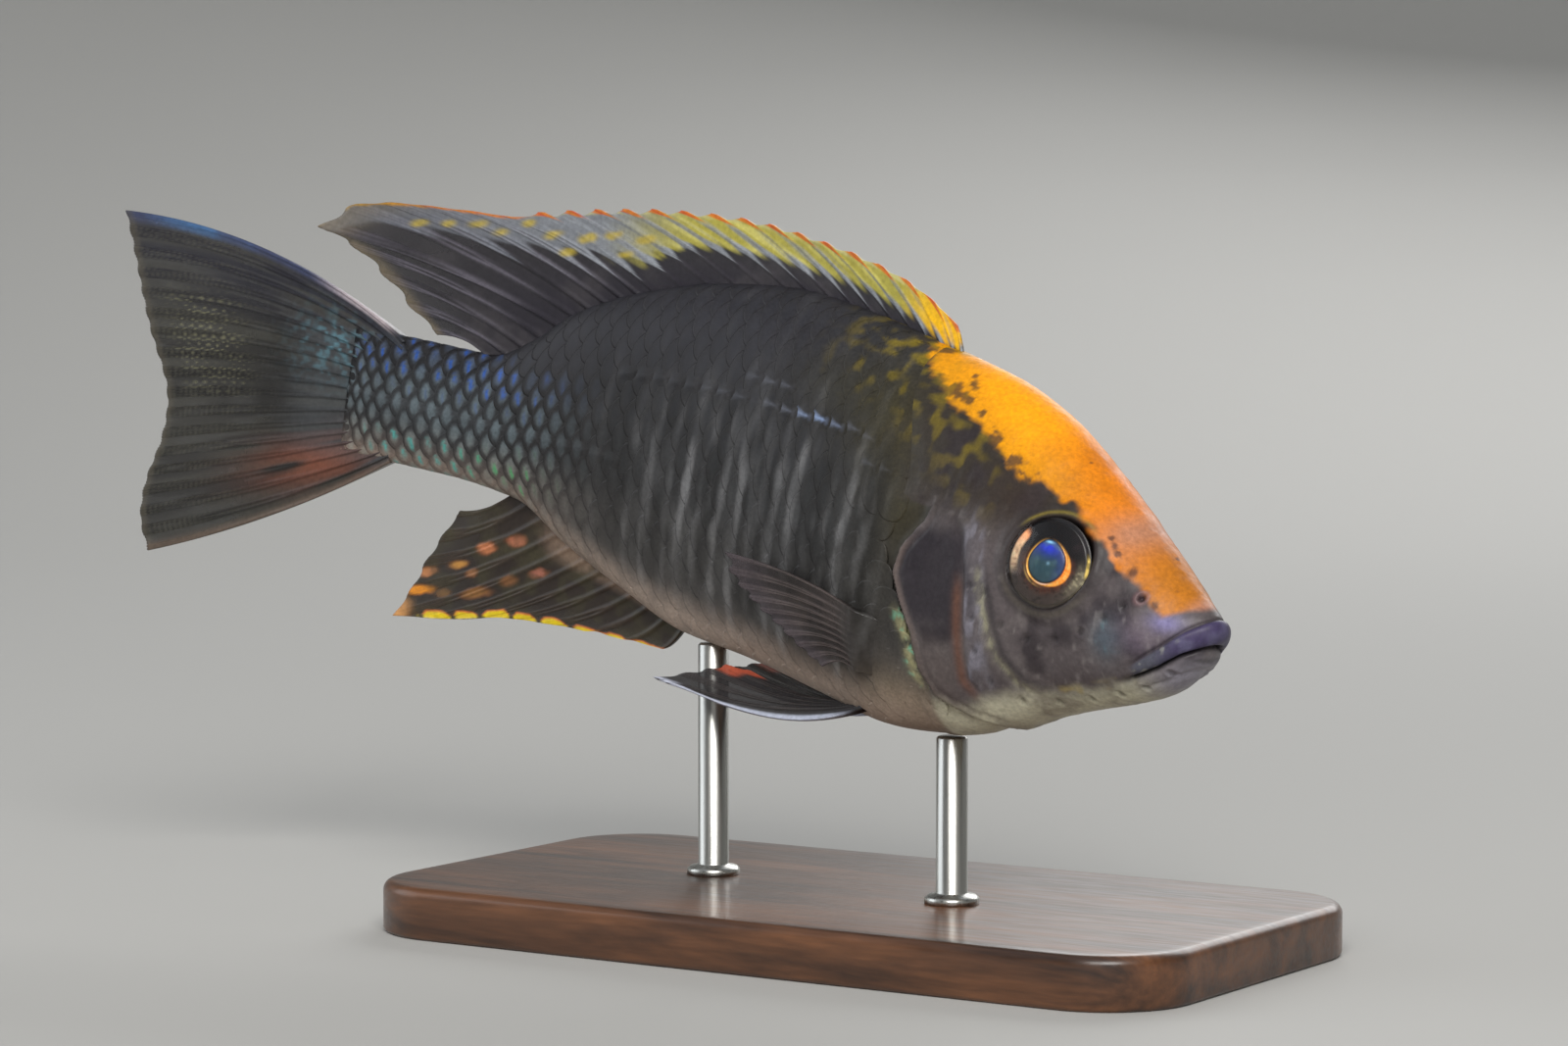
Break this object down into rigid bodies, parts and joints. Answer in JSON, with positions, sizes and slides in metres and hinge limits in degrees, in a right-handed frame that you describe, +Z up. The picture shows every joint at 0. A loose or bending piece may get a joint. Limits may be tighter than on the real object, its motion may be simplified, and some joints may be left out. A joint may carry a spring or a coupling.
{
  "type": "peacock cichlid display model",
  "caption": "Life-size still model of an adult male peacock cichlid swimming nose down, dark with a yellow-orange blaze, on a flat base with two short rods.",
  "frame": {"origin": "centre of the stand base's underside", "axes": "+X the way the fish swims (snout end), +Y to the fish's left, +Z up"},
  "size_m": [0.1303, 0.046, 0.0709],
  "materials": {
    "body_skin": "dark charcoal scaled fish skin, moist satin sheen, faint bars and blue flecks",
    "head_skin": "smooth purplish-grey head skin with a yellow-orange blaze along the top, moist sheen",
    "fins": "thin dark fin membrane with fine rays, yellow and pale-blue edges, thin and partly see-through",
    "eyes": "clear domed eye, blue-black pupil, brown and gold iris",
    "stand_wood": "satin dark walnut with a small bevel",
    "stand_rods": "satin steel rod"
  },
  "bodies": {
    "root": {"head": "head_skin", "lower_jaw": "head_skin", "gill_cover_left": "head_skin", "gill_cover_right": "head_skin", "trunk": "body_skin", "tail_stalk": "body_skin", "dorsal_fin": "fins", "anal_fin": "fins", "tail_fin": "fins", "pectoral_fin_left": "fins", "pectoral_fin_right": "fins", "pelvic_fin_left": "fins", "pelvic_fin_right": "fins", "eye_left": "eyes", "eye_right": "eyes", "stand_base": "stand_wood", "stand_rod_front": "stand_rods", "stand_rod_rear": "stand_rods"}
  },
  "joints": []
}
